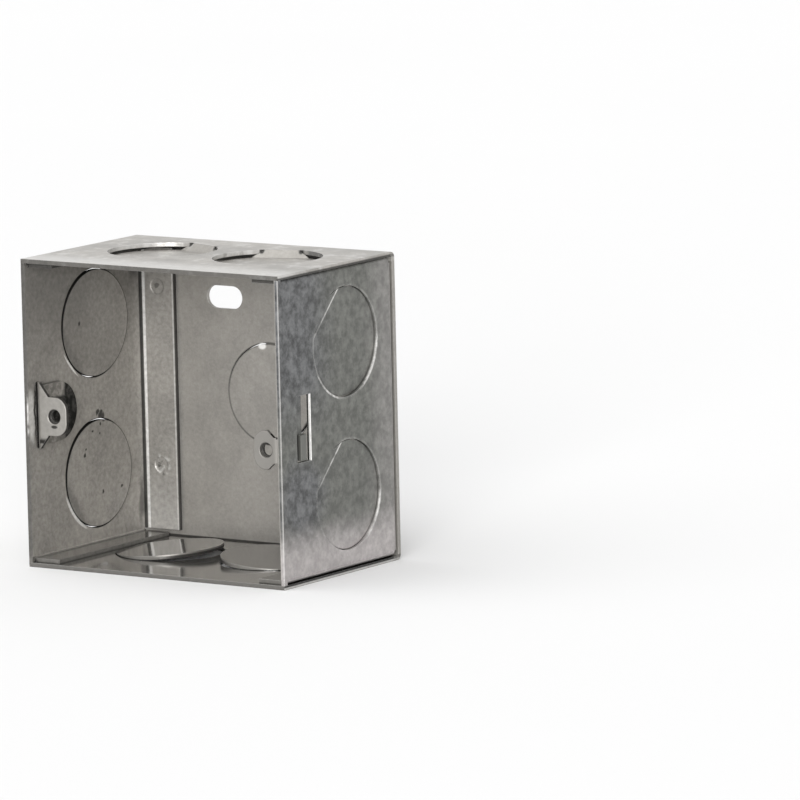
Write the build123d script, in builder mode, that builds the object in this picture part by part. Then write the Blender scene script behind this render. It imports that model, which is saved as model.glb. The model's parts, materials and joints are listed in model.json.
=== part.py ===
"""Galvanised steel junction box with one fixed and one adjustable lug, in millimetres.

The mouth faces -Y and the box stands on its bottom sheet, with the origin under its middle.
"""
import os

from build123d import *

os.makedirs("parts", exist_ok=True)

# Outer size of the box and its sheet
box_width = 73.0
box_height = 73.0
box_depth = 48.0
sheet = 1.0
bend_inside = 0.5

# Flanges of the side sheets, measured from the outer face of the side
back_flange = 10.8
end_flange = 8.0
end_flange_setback = 1.2

# Spot welds that hold the side sheets to the back
weld_diameter = 4.0
weld_depth = 0.15
weld_pitch = 43.0
weld_lift = 3.0

# Knockouts, pressed in and held by one tab each
knockout_diameter = 26.0
back_knockout_diameter = 24.4
knockout_setback = 27.0
side_knockout_pitch = 36.0
end_knockout_pitch = 30.0
back_knockout_offset = 1.2
back_knockout_lift = 0.5
knockout_gap = 0.25
tab_depth = 0.8
tab_slope = 1.6
top_tab_press = 1.7
top_rim_press = 1.6
bottom_tab_press = 0.3
bottom_rim_press = 2.2
side_tab_press = 0.2
side_rim_press = 0.7
back_tab_press = 0.2
back_rim_press = 0.5

# Slots in the back for the fixing screws
fixing_slot_length = 10.2
fixing_slot_width = 5.5
fixing_slot_pitch = 23.2
fixing_slot_height = 59.4

# Tapped lugs for the cover screws, with the holes inset from the outer faces of the sides
lug_hole_inset = 6.35
lug_setback = 2.8
lug_hole_diameter = 3.5
lug_collar_wall = 0.7
lug_collar_length = 1.0
lug_hole_lead = 0.25
lug_half_height = 4.6
lug_nose = 3.5
lug_nose_corner = 3.2
lug_shoulder_corner = 1.2
fixed_lug_drop = 0.9
fixed_lug_flare = 2.6
fixed_lug_root = 7.9
fixed_lug_foot = 15.1
fixed_lug_foot_radius = 7.0
adjustable_lug_flare = 1.8

# Rail for the adjustable lug, joggled in from a slot in the right side
slot_setback = 6.4
slot_width = 5.6
slot_height = 15.6
rail_width = 4.0
rail_inset = 1.5
rail_kerf = 0.3
slide_clearance = 0.2
tail_height = 6.0
hook_overlap = 2.0

# Places worked out from the sizes above
half_width = box_width / 2
front = -box_depth / 2
back = box_depth / 2
middle = box_height / 2
bend_middle = bend_inside + sheet / 2
bend_outside = bend_inside + sheet
inner_side = half_width - sheet
weld_reach = half_width - (sheet + back_flange) / 2
weld_heights = (middle + weld_lift - weld_pitch / 2, middle + weld_lift + weld_pitch / 2)
lug_hole_x = half_width - lug_hole_inset
lug_front = front + lug_setback
lug_middle = lug_front + sheet / 2
rail_outside = half_width - rail_inset
rail_inside = rail_outside - sheet
rail_end = front + slot_setback + rail_width
fixed_lug_height = middle - fixed_lug_drop
adjustable_lug_height = middle - slot_height / 2 + slide_clearance + tail_height / 2


def knockout_plane(centre, inward, tab_towards):
    """Plane on the outer face of a sheet: X runs away from the tab and Z into the box."""
    return Plane(origin=centre, x_dir=-Vector(tab_towards), z_dir=inward)


def knockout_hole(place, diameter):
    """Round hole with the flat that the tab leaves, cut from the outer face of a sheet."""
    tab_edge = tab_depth - diameter / 2
    with BuildSketch(place) as hole:
        Circle(diameter / 2)
        with Locations((tab_edge - diameter / 2, 0)):
            Rectangle(diameter, diameter, mode=Mode.SUBTRACT)
    return hole.sketch


def knockout_disc(place, diameter, tab_press, rim_press):
    """Disc pressed in past its sloping tab: to one depth beside the tab and another at its far rim."""
    tab_edge = tab_depth - diameter / 2
    slope_end = tab_edge + tab_slope
    rim = diameter / 2
    side_view = Plane(origin=place.origin, x_dir=place.x_dir, z_dir=-place.y_dir)
    with BuildPart() as disc:
        with BuildSketch(side_view):
            with BuildLine():
                Polyline(
                    (tab_edge, 0),
                    (slope_end, tab_press),
                    (rim, rim_press),
                    (rim, rim_press + sheet),
                    (slope_end, tab_press + sheet),
                    (tab_edge, sheet),
                    close=True,
                )
            make_face()
        extrude(amount=rim, both=True)
        with BuildSketch(place):
            Circle(rim - knockout_gap)
        extrude(amount=tab_press + rim_press + 2 * sheet, mode=Mode.INTERSECT)
    return disc.part


def weld_mark(centre, into):
    """Shallow round dent that a spot weld leaves in the face of a sheet."""
    with BuildPart() as dent:
        with Locations(Plane(origin=centre, z_dir=into)):
            Cone(
                bottom_radius=weld_diameter / 2,
                top_radius=weld_diameter / 2 - 2 * weld_depth,
                height=weld_depth,
                align=(Align.CENTER, Align.CENTER, Align.MIN),
            )
    return dent.part


def lug_outline(place, reach, flare, root, stem):
    """Lug seen from the front: a stem along -X, a flare and a round nose at reach along +X."""
    with BuildSketch(place) as outline:
        with BuildLine():
            Polyline(
                (-stem, -root),
                (0, -root),
                (flare, -lug_half_height),
                (reach, -lug_half_height),
                (reach, lug_half_height),
                (flare, lug_half_height),
                (0, root),
                (-stem, root),
                close=True,
            )
        make_face()
        corners = outline.vertices()
        fillet(corners.group_by(Axis.X)[-1], lug_nose_corner)
        fillet(corners.filter_by_position(Axis.X, flare, flare), lug_shoulder_corner)
    return outline.sketch


def lug_collar(x_position, height):
    """Ring drawn out of the back of a lug round its tapped hole."""
    behind = Plane(origin=(x_position, lug_front + sheet, height), x_dir=(1, 0, 0), z_dir=(0, 1, 0))
    with BuildPart() as collar:
        with BuildSketch(behind):
            Circle(lug_hole_diameter / 2 + lug_collar_wall)
        extrude(amount=lug_collar_length)
    return collar.part


def side_sheet(side):
    """Side wall with its back, top and bottom flanges: side is -1 on the left and 1 on the right."""
    wall = side * (half_width - sheet / 2)
    end_tip = side * (half_width - end_flange)
    back_tip = side * (half_width - back_flange)
    lap = sheet + sheet / 2
    top = box_height - lap
    bend_start = back - sheet - bend_outside
    flange_start = front + end_flange_setback
    flange_inside = back - 2 * sheet
    section = Plane(origin=(0, flange_start, 0), x_dir=(1, 0, 0), z_dir=(0, -1, 0))
    weld_marks = []
    for height in weld_heights:
        weld_marks.append(weld_mark((side * weld_reach, flange_inside, height), (0, 1, 0)))
    with BuildPart() as folded:
        with BuildSketch(section):
            with BuildLine():
                FilletPolyline((end_tip, lap), (wall, lap), (wall, top), (end_tip, top), radius=bend_middle)
            trace(line_width=sheet)
        extrude(amount=flange_start - bend_start)
        with BuildSketch(section):
            with Locations((wall, middle)):
                Rectangle(sheet, box_height - 2 * sheet)
        extrude(amount=end_flange_setback)
        with BuildSketch(Plane.XY.offset(sheet + bend_outside)):
            with BuildLine():
                FilletPolyline((wall, front), (wall, back - lap), (back_tip, back - lap), radius=bend_middle)
            trace(line_width=sheet)
        extrude(amount=box_height - 2 * (sheet + bend_outside))
        add(weld_marks, mode=Mode.SUBTRACT)
    return folded.part


# Knockouts of each sheet: the place of every disc on the outer face, with the side of its tab
knockout_middle = front + knockout_setback
left_places = []
right_places = []
for height in (middle - side_knockout_pitch / 2, middle + side_knockout_pitch / 2):
    left_places.append(knockout_plane((-half_width, knockout_middle, height), (1, 0, 0), (0, -3, -2)))
    right_places.append(knockout_plane((half_width, knockout_middle, height), (-1, 0, 0), (0, -1, 1)))
top_places = []
bottom_places = []
for side in (-1, 1):
    place_x = side * end_knockout_pitch / 2
    top_places.append(knockout_plane((place_x, knockout_middle, box_height), (0, 0, -1), (-side, 3, 0)))
    bottom_places.append(knockout_plane((place_x, knockout_middle, 0), (0, 0, 1), (4 * side, -1, 0)))
back_place = knockout_plane((back_knockout_offset, back, middle + back_knockout_lift), (0, -1, 0), (1, 0, 4))

# Top, back and bottom, folded from one sheet
wrapper_discs = [knockout_disc(back_place, back_knockout_diameter, back_tab_press, back_rim_press)]
for place in top_places:
    wrapper_discs.append(knockout_disc(place, knockout_diameter, top_tab_press, top_rim_press))
for place in bottom_places:
    wrapper_discs.append(knockout_disc(place, knockout_diameter, bottom_tab_press, bottom_rim_press))
wrapper_holes = [knockout_hole(place, knockout_diameter) for place in top_places + bottom_places]
wrapper_holes.append(knockout_hole(back_place, back_knockout_diameter))
wrapper_welds = []
for weld_x in (-weld_reach, weld_reach):
    for height in weld_heights:
        wrapper_welds.append(weld_mark((weld_x, back, height), (0, -1, 0)))
with BuildPart() as wrapper:
    with BuildSketch(Plane.YZ):
        with BuildLine():
            FilletPolyline(
                (front, sheet / 2),
                (back - sheet / 2, sheet / 2),
                (back - sheet / 2, box_height - sheet / 2),
                (front, box_height - sheet / 2),
                radius=bend_middle,
            )
        trace(line_width=sheet)
    extrude(amount=half_width, both=True)
    for hole in wrapper_holes:
        extrude(hole, amount=sheet, mode=Mode.SUBTRACT)
    add(wrapper_discs)
    with BuildSketch(Plane(origin=(0, back, fixing_slot_height), x_dir=(1, 0, 0), z_dir=(0, -1, 0))):
        with GridLocations(fixing_slot_pitch, 0, 2, 1):
            SlotOverall(fixing_slot_length, fixing_slot_width)
    extrude(amount=sheet, mode=Mode.SUBTRACT)
    add(wrapper_welds, mode=Mode.SUBTRACT)

# Left side
left_discs = []
for place in left_places:
    left_discs.append(knockout_disc(place, knockout_diameter, side_tab_press, side_rim_press))
left_holes = [knockout_hole(place, knockout_diameter) for place in left_places]
left_sheet = side_sheet(-1)
with BuildPart() as left_side:
    add(left_sheet)
    for hole in left_holes:
        extrude(hole, amount=sheet, mode=Mode.SUBTRACT)
    add(left_discs)

# Fixed lug: one strip with a tapped nose and a round-ended foot, welded to the left wall
foot_inside = sheet - inner_side
foot_round = lug_front + fixed_lug_foot - fixed_lug_foot_radius
fixed_lug_reach = lug_nose - lug_hole_x - foot_inside
fixed_lug_face = Plane(origin=(foot_inside, lug_front, fixed_lug_height), x_dir=(1, 0, 0), z_dir=(0, 1, 0))
fixed_lug_outline = lug_outline(fixed_lug_face, fixed_lug_reach, fixed_lug_flare, fixed_lug_root, sheet)
fixed_collar = lug_collar(-lug_hole_x, fixed_lug_height)
fixed_lug_weld = weld_mark((foot_inside, foot_round, fixed_lug_height), (-1, 0, 0))
with BuildPart() as fixed_lug:
    with BuildSketch(Plane.XY.offset(fixed_lug_height)):
        with BuildLine():
            FilletPolyline(
                (lug_nose - lug_hole_x, lug_middle),
                (foot_inside - sheet / 2, lug_middle),
                (foot_inside - sheet / 2, lug_front + fixed_lug_foot),
                radius=bend_middle,
            )
        trace(line_width=sheet)
    extrude(amount=fixed_lug_root, both=True)
    extrude(fixed_lug_outline, amount=fixed_lug_foot, mode=Mode.INTERSECT)
    with BuildSketch(Plane.YZ):
        with Locations((foot_round, fixed_lug_height)):
            Circle(fixed_lug_foot_radius)
            Rectangle(foot_round - lug_front, 2 * fixed_lug_foot_radius, align=(Align.MAX, Align.CENTER))
        with Locations((lug_front, fixed_lug_height)):
            Rectangle(bend_outside, 2 * fixed_lug_root, align=(Align.MIN, Align.CENTER))
    extrude(amount=half_width, both=True, mode=Mode.INTERSECT)
    add(fixed_collar)
    with Locations(Plane(origin=(-lug_hole_x, lug_front, fixed_lug_height), z_dir=(0, -1, 0))):
        Hole(lug_hole_diameter / 2, depth=sheet + lug_collar_length)
    fillet(fixed_lug.edges().filter_by(GeomType.CIRCLE).group_by(Axis.Y)[0], lug_hole_lead)
    add(fixed_lug_weld, mode=Mode.SUBTRACT)

# Right side with the slot and the rail that is joggled in from its front edge
right_discs = []
for place in right_places:
    right_discs.append(knockout_disc(place, knockout_diameter, side_tab_press, side_rim_press))
right_holes = [knockout_hole(place, knockout_diameter) for place in right_places]
right_sheet = side_sheet(1)
slot_front = front + slot_setback
joggle_end = slot_front + rail_inset
with BuildPart() as rail:
    with BuildSketch(Plane.XY.offset(middle)):
        with BuildLine():
            Polyline(
                (half_width, slot_front),
                (rail_outside, joggle_end),
                (rail_outside, rail_end),
                (rail_inside, rail_end),
                (rail_inside, joggle_end),
                (inner_side, slot_front),
                close=True,
            )
        make_face()
    extrude(amount=slot_height / 2 - rail_kerf, both=True)
with BuildPart() as right_side:
    add(right_sheet)
    for hole in right_holes:
        extrude(hole, amount=sheet, mode=Mode.SUBTRACT)
    add(right_discs)
    with BuildSketch(Plane(origin=(half_width, slot_front, middle), x_dir=(0, 1, 0), z_dir=(1, 0, 0))):
        Rectangle(slot_width, slot_height, align=(Align.MIN, Align.CENTER))
    extrude(amount=-sheet, mode=Mode.SUBTRACT)
    add(rail.part)

# Adjustable lug: one strip with a tapped nose, a leg behind the rail and a hook round it
leg_middle = rail_inside - slide_clearance - sheet / 2
hook_middle = rail_outside + slide_clearance + sheet / 2
web_middle = rail_end + slide_clearance + sheet / 2
adjustable_lug_reach = leg_middle - bend_middle - lug_hole_x + lug_nose
stem_face = Plane(
    origin=(leg_middle - bend_middle, lug_front, adjustable_lug_height), x_dir=(-1, 0, 0), z_dir=(0, 1, 0)
)
adjustable_outline = lug_outline(
    stem_face, adjustable_lug_reach, adjustable_lug_flare, tail_height / 2, half_width
)
adjustable_collar = lug_collar(lug_hole_x, adjustable_lug_height)
with BuildPart() as adjustable_lug:
    with BuildSketch(Plane.XY.offset(adjustable_lug_height)):
        with BuildLine():
            FilletPolyline(
                (lug_hole_x - lug_nose, lug_middle),
                (leg_middle, lug_middle),
                (leg_middle, web_middle),
                (hook_middle, web_middle),
                (hook_middle, rail_end - hook_overlap),
                radius=bend_middle,
            )
        trace(line_width=sheet)
    extrude(amount=lug_half_height, both=True)
    extrude(adjustable_outline, amount=box_depth, mode=Mode.INTERSECT)
    add(adjustable_collar)
    with Locations(Plane(origin=(lug_hole_x, lug_front, adjustable_lug_height), z_dir=(0, -1, 0))):
        Hole(lug_hole_diameter / 2, depth=sheet + lug_collar_length)
    fillet(adjustable_lug.edges().filter_by(GeomType.CIRCLE).group_by(Axis.Y)[0], lug_hole_lead)

for name, piece in (
    ("wrapper", wrapper),
    ("left_side", left_side),
    ("right_side", right_side),
    ("fixed_lug", fixed_lug),
    ("adjustable_lug", adjustable_lug),
):
    piece.part.label = name
    export_step(piece.part, f"parts/{name}.step")
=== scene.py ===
"""Galvanised junction box: zinc finish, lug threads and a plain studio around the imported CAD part."""

import json
import math

import bmesh
import bpy
from bpy.props import FloatProperty, FloatVectorProperty, IntProperty, PointerProperty
from mathutils import Matrix, Vector


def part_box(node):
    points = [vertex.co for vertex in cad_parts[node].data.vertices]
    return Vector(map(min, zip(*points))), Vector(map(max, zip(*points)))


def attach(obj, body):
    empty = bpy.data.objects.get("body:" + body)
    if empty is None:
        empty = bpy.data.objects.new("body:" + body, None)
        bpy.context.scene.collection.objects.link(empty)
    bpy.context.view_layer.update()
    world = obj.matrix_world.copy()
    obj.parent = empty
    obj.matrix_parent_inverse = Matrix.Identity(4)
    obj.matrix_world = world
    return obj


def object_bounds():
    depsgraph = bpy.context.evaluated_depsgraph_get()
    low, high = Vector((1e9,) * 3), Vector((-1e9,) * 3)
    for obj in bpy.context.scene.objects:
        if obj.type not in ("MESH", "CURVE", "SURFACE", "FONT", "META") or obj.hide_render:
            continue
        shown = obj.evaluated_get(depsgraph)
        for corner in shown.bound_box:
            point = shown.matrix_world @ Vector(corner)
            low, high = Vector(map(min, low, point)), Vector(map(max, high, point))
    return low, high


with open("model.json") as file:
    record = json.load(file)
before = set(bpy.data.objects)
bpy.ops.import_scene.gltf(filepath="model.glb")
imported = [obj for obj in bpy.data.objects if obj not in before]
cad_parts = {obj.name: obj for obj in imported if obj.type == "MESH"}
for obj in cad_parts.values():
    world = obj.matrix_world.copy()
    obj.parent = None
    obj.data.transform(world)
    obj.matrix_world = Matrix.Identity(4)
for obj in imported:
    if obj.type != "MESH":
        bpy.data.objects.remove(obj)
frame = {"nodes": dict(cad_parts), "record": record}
CAD_LOW, CAD_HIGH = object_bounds()
MOUNTS = {mount["name"]: mount for mount in frame["record"]["mounts"]}
MM = 0.001

# Sizes and places on the CAD part that the marks of the finish follow, in millimetres
BOX_WIDTH, BOX_DEPTH, BOX_HEIGHT = ((high - low) / MM for low, high in zip(CAD_LOW, CAD_HIGH))
RIGHT = BOX_WIDTH / 2
FRONT = -BOX_DEPTH / 2
BACK = BOX_DEPTH / 2
MIDDLE = BOX_HEIGHT / 2
SHEET = 1.0
KNOCKOUT_RADIUS = 13.0
KNOCKOUT_GAP = 0.25
KNOCKOUT_Y = 3.0
SIDE_KNOCKOUT_RISE = 18.0
END_KNOCKOUT_REACH = 15.0
BACK_KNOCKOUT_X = 1.2
BACK_KNOCKOUT_Z = MIDDLE + 0.5
BACK_KNOCKOUT_RADIUS = 12.2
BACK_FLANGE_EDGE = 25.7
END_FLANGE_EDGE = 28.5
END_FLANGE_FRONT = FRONT + 1.2
SLOT_FRONT = FRONT + 6.4
SLOT_BACK = SLOT_FRONT + 5.6
SLOT_HALF_HEIGHT = 7.8
RAIL_INSET = 1.5
TAB_CREASE = 10.6
WELD_X = 30.6
WELD_HEIGHTS = (18.0, 61.0)
LUG_FRONT = FRONT + 2.8
LUG_DEPTH = 2.0
LUG_HEIGHT = MIDDLE - 0.9

# Directions from the middle of a knockout to its tab, in degrees, and the slope of the bottom discs
LEFT_TAB_HEADING = math.degrees(math.atan2(-2, -3))
RIGHT_TAB_HEADING = 135.0
TOP_TAB_HEADING = math.degrees(math.atan2(3, -1))
BOTTOM_TAB_HEADING = math.degrees(math.atan2(-1, 4))
BOTTOM_DISC_SLOPE = 0.08

bl_info = {
    "name": "Junction Box",
    "version": (1, 0, 0),
    "blender": (4, 5, 0),
    "location": "3D View > Sidebar > Junction Box",
    "description": "Dresses a galvanised steel junction box and sets up its studio",
    "category": "Object",
}


class JunctionBoxFinish(bpy.types.PropertyGroup):
    """Colours and grain of the zinc coating."""

    zinc_dark: FloatVectorProperty(
        name="Dark zinc", description="Coating where its crystals look darkest",
        subtype="COLOR", min=0.0, max=1.0, default=(0.25, 0.24, 0.222),
    )
    zinc_light: FloatVectorProperty(
        name="Light zinc", description="Coating where its crystals look lightest",
        subtype="COLOR", min=0.0, max=1.0, default=(0.42, 0.40, 0.37),
    )
    # Also laid as a painted highlight on hole walls, disc rims and flange edges
    edge: FloatVectorProperty(
        name="Rubbed edge", description="Bare metal along sheared edges and corners",
        subtype="COLOR", min=0.0, max=1.0, default=(0.62, 0.61, 0.59),
    )
    # Bare metal painted bright as a highlight on bends, rims, a tab and the cut edge of the slot
    bright: FloatVectorProperty(
        name="Bright edge", description="Clean bare metal on bends, tabs and the cut edge of the slot",
        subtype="COLOR", min=0.0, max=1.0, default=(0.85, 0.84, 0.82),
    )
    weathered: FloatVectorProperty(
        name="Weathered zinc", description="Greenish grey of the coating on the outside of the right wall",
        subtype="COLOR", min=0.0, max=1.0, default=(0.135, 0.137, 0.125),
    )
    bluish: FloatVectorProperty(
        name="Bluish zinc", description="Darker blotches near the front of the right wall",
        subtype="COLOR", min=0.0, max=1.0, default=(0.118, 0.12, 0.122),
    )
    rubbed: FloatVectorProperty(
        name="Rubbed zinc", description="Paler coating near the back and the foot of the right wall",
        subtype="COLOR", min=0.0, max=1.0, default=(0.405, 0.38, 0.374),
    )
    # This dark is also laid as painted shade in creases, gaps and under edges
    grime_and_shade: FloatVectorProperty(
        name="Grime", description="Dark dirt that gathers in creases and gaps",
        subtype="COLOR", min=0.0, max=1.0, default=(0.012, 0.012, 0.011),
    )
    cloud_size: FloatProperty(
        name="Cloud size", description="Size of the broad light and dark clouds in the coating",
        unit="LENGTH", min=0.001, default=14 * MM,
    )
    spangle_size: FloatProperty(
        name="Spangle size", description="Size of one zinc crystal",
        unit="LENGTH", min=0.0005, default=3.2 * MM,
    )
    grain_size: FloatProperty(
        name="Grain size", description="Size of the fine grain on the coating",
        unit="LENGTH", min=0.0001, default=0.45 * MM,
    )
    mottle_size: FloatProperty(
        name="Mottle size", description="Size of the small light and dark flecks on the coating",
        unit="LENGTH", min=0.0001, default=1.1 * MM,
    )
    metallic: FloatProperty(
        name="Metallic", description="How far the coating mirrors like bare metal",
        subtype="FACTOR", min=0.0, max=1.0, default=0.5,
    )
    crease_reach: FloatProperty(
        name="Crease reach", description="How far from a crease the grime shows",
        unit="LENGTH", min=0.0001, default=0.9 * MM,
    )
    edge_wear: FloatProperty(
        name="Edge wear", description="Width of the rubbed band along edges",
        unit="LENGTH", min=0.0, default=0.22 * MM,
    )


class JunctionBoxThread(bpy.types.PropertyGroup):
    """Thread cut in the holes of both lugs."""

    pitch: FloatProperty(
        name="Pitch", description="Rise of the thread in one turn",
        unit="LENGTH", min=0.0001, default=0.6 * MM,
    )
    depth: FloatProperty(
        name="Depth", description="Height of the thread's ridge above the wall of the hole",
        unit="LENGTH", min=0.0, default=0.4 * MM,
    )
    steps: IntProperty(
        name="Steps", description="Points in one turn of the thread", min=8, default=40,
    )


class JunctionBoxStage(bpy.types.PropertyGroup):
    """Camera, lamps and floor."""

    azimuth: FloatProperty(
        name="Azimuth", description="Camera's turn round the box from its front",
        subtype="ANGLE", default=math.radians(34.09),
    )
    elevation: FloatProperty(
        name="Elevation", description="Camera's angle above the floor",
        subtype="ANGLE", default=math.radians(8.60),
    )
    roll: FloatProperty(
        name="Roll", description="Camera's turn about its own line of sight",
        subtype="ANGLE", default=math.radians(-1.29),
    )
    distance: FloatProperty(
        name="Distance", description="Distance from the camera to the aim point",
        unit="LENGTH", min=0.1, default=2.0,
    )
    lens: FloatProperty(
        name="Lens", description="Focal length on a 36 mm sensor, in millimetres", min=1.0, default=386.8,
    )
    aim: FloatVectorProperty(
        name="Aim", description="Point in the middle of the picture",
        subtype="XYZ", unit="LENGTH", default=(44.43 * MM, 13.34 * MM, 39.79 * MM),
    )
    floor: FloatVectorProperty(
        name="Floor", description="Colour of the floor",
        subtype="COLOR", min=0.0, max=1.0, default=(0.86, 0.86, 0.86),
    )
    key_strength: FloatProperty(
        name="Key strength", description="Light of the lamp beside the camera on a square metre",
        min=0.0, default=3.0,
    )
    top_strength: FloatProperty(
        name="Top strength", description="Light of the lamp above the box on a square metre",
        min=0.0, default=1.6,
    )
    ambient: FloatProperty(
        name="Ambient", description="Strength of the room's own light", min=0.0, default=0.5,
    )


def solid(colour):
    """Colour with full alpha, as a colour socket takes it."""
    return (*colour, 1.0)


def toned(colour, factor):
    """Colour made darker or lighter by a factor."""
    return [factor * part for part in colour]


class Shader:
    """Adds and joins the nodes of one material."""

    # Numbers of the colour sockets of a Mix node: its two inputs and its result
    FIRST_COLOUR, SECOND_COLOUR, MIXED_COLOUR = 6, 7, 2

    def __init__(self, name):
        self.material = bpy.data.materials.new(name)
        self.material.use_nodes = True
        self.nodes = self.material.node_tree.nodes
        self.links = self.material.node_tree.links
        self.surface = self.nodes["Principled BSDF"]

    def add(self, kind, inputs=(), **settings):
        """New node with its settings, and its inputs set or linked by name or number."""
        node = self.nodes.new(kind)
        for name, value in settings.items():
            setattr(node, name, value)
        for name, value in dict(inputs).items():
            self.feed(node.inputs[name], value)
        return node

    def feed(self, socket, value):
        """Links a socket to another node's output, or sets its own value."""
        if isinstance(value, bpy.types.NodeSocket):
            self.links.new(value, socket)
        else:
            socket.default_value = value

    def math(self, operation, first, second=0.0, third=0.0):
        """Result of a Math node."""
        values = {0: first, 1: second, 2: third}
        return self.add("ShaderNodeMath", values, operation=operation).outputs[0]

    def vector(self, operation, first, second):
        """Vector from a Vector Math node."""
        values = {0: first, 1: second}
        return self.add("ShaderNodeVectorMath", values, operation=operation).outputs["Vector"]

    def scale(self, vector, factor):
        """Vector made longer or shorter by a factor."""
        values = {0: vector, "Scale": factor}
        return self.add("ShaderNodeVectorMath", values, operation="SCALE").outputs["Vector"]

    def ramp(self, value, low, high, start=0.0, end=1.0):
        """Smooth step from start to end, as the value goes from low to high."""
        inputs = {"Value": value, "From Min": low, "From Max": high, "To Min": start, "To Max": end}
        return self.add("ShaderNodeMapRange", inputs, interpolation_type="SMOOTHSTEP").outputs["Result"]

    def mix(self, factor, first, second):
        """Colour between first and second."""
        node = self.add("ShaderNodeMix", data_type="RGBA")
        self.feed(node.inputs["Factor"], factor)
        self.feed(node.inputs[self.FIRST_COLOUR], first)
        self.feed(node.inputs[self.SECOND_COLOUR], second)
        return node.outputs[self.MIXED_COLOUR]

    def where(self, mask, *others):
        """One where every mask is one."""
        for other in others:
            mask = self.math("MULTIPLY", mask, other)
        return mask

    def either(self, mask, *others):
        """Largest of several masks."""
        for other in others:
            mask = self.math("MAXIMUM", mask, other)
        return mask

    def off(self, mask):
        """One where the mask is zero."""
        return self.math("SUBTRACT", 1.0, mask)


class ZincSheet(Shader):
    """Galvanised sheet: clouds, spangle and grain, with marks laid over them and painted shade, laid as dark
    dirt, in the creases.
    """

    # How far the clouds, the crystals and the grain lighten the coating, from a start below the darkest zinc
    CLOUD_SHARE, CRYSTAL_SHARE, GRAIN_SHARE = 0.5, 0.16, 0.7
    DARK_START = -0.12
    # How far the clouds and the grain roughen it
    CLOUD_ROUGHNESS, GRAIN_ROUGHNESS = 0.12, 0.1
    # How far the outlines of marks wander
    RIPPLE = 4 * MM
    # Middle of the gap round a pressed disc, inside the rim of its hole, in millimetres
    GAP_MIDDLE = 0.12

    def __init__(self, name, finish, roughness):
        super().__init__(name)
        self.finish = finish
        self.place = self.add("ShaderNodeTexCoord").outputs["Object"]
        self.x, self.y, self.z = self.add("ShaderNodeSeparateXYZ", {"Vector": self.place}).outputs
        self.clouds = self.noise(1 / finish.cloud_size, detail=4.0, roughness=0.6, distortion=0.4)
        self.grain = self.noise(1 / finish.grain_size, detail=2.0)
        ripple = self.noise(2.5 / finish.cloud_size, detail=3.0, output="Color")
        shift = self.scale(self.vector("SUBTRACT", ripple, (0.5, 0.5, 0.5)), self.RIPPLE)
        self.rough_place = self.vector("ADD", self.place, shift)

        crystals = self.add(
            "ShaderNodeTexVoronoi",
            {"Vector": self.place, "Scale": 1 / finish.spangle_size, "Randomness": 1.0},
        ).outputs["Color"]
        crystal = self.add("ShaderNodeSeparateColor", {"Color": crystals}).outputs[0]
        shade = self.math("MULTIPLY_ADD", self.ramp(self.clouds, 0.3, 0.7), self.CLOUD_SHARE, self.DARK_START)
        shade = self.math("MULTIPLY_ADD", crystal, self.CRYSTAL_SHARE, shade)
        shade = self.math("MULTIPLY_ADD", self.grain, self.GRAIN_SHARE, shade)
        self.colour = self.mix(shade, solid(finish.zinc_dark), solid(finish.zinc_light))
        smoothest = roughness - self.CLOUD_ROUGHNESS / 2
        self.rough = self.math("MULTIPLY_ADD", self.clouds, self.CLOUD_ROUGHNESS, smoothest)
        self.rough = self.math("MULTIPLY_ADD", self.grain, self.GRAIN_ROUGHNESS, self.rough)
        self.shine = 1.0
        self.coat = 0.0

    def noise(self, scale, detail, roughness=0.5, distortion=0.0, output="Fac"):
        """Noise at the place on the piece, with a number of waves to the metre."""
        inputs = {
            "Vector": self.place,
            "Scale": scale,
            "Detail": detail,
            "Roughness": roughness,
            "Distortion": distortion,
        }
        return self.add("ShaderNodeTexNoise", inputs).outputs[output]

    def across(self):
        """Distance from the plane between the two sides."""
        return self.math("ABSOLUTE", self.x)

    def past(self, value, level):
        """Distance of a coordinate past a level in millimetres."""
        return self.math("SUBTRACT", value, level * MM)

    def above(self, value, level, soft):
        """One above a level and zero below, both in millimetres."""
        return self.ramp(value, (level - soft) * MM, (level + soft) * MM)

    def below(self, value, level, soft):
        """One below a level and zero above, both in millimetres."""
        return self.ramp(value, (level - soft) * MM, (level + soft) * MM, 1.0, 0.0)

    def band(self, value, middle, half, soft):
        """One where a coordinate lies within half of middle, in millimetres, and zero outside."""
        return self.below(self.math("ABSOLUTE", self.past(value, middle)), half, soft)

    def blob(self, place, centre, radii, soft=0.3):
        """One inside an ellipsoid given in millimetres and zero outside, with a soft edge."""
        offset = self.vector("SUBTRACT", place, [part * MM for part in centre])
        scaled = self.vector("DIVIDE", offset, [part * MM for part in radii])
        distance = self.add("ShaderNodeVectorMath", {0: scaled}, operation="LENGTH").outputs["Value"]
        return self.ramp(distance, 1 - soft, 1 + soft, 1.0, 0.0)

    def reach(self, across, rise):
        """Distance from an axis, from the distances across and up."""
        square = self.math("MULTIPLY_ADD", across, across, self.math("MULTIPLY", rise, rise))
        return self.math("SQRT", square)

    def along(self, across, rise, degrees):
        """Distance along a heading, from the distances across and up."""
        heading = math.radians(degrees)
        sideways = self.math("MULTIPLY", across, math.cos(heading))
        return self.math("MULTIPLY_ADD", rise, math.sin(heading), sideways)

    def groove(self, reach, radius):
        """One on the groove round a knockout and zero elsewhere."""
        return self.band(reach, radius - self.GAP_MIDDLE, half=0.32, soft=0.2)

    def stain(self, mask, colour, strength=1.0):
        """Lays a colour over the sheet where the mask is one."""
        self.colour = self.mix(self.math("MULTIPLY", mask, strength), self.colour, solid(colour))

    def soil_and_shade(self, mask, strength=1.0):
        """Lays matte dark dirt over the sheet where the mask is one; the same dark also serves as painted
        shade.
        """
        self.stain(mask, self.finish.grime_and_shade, strength)
        self.shine = self.where(self.off(self.math("MULTIPLY", mask, strength)), self.shine)

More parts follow.
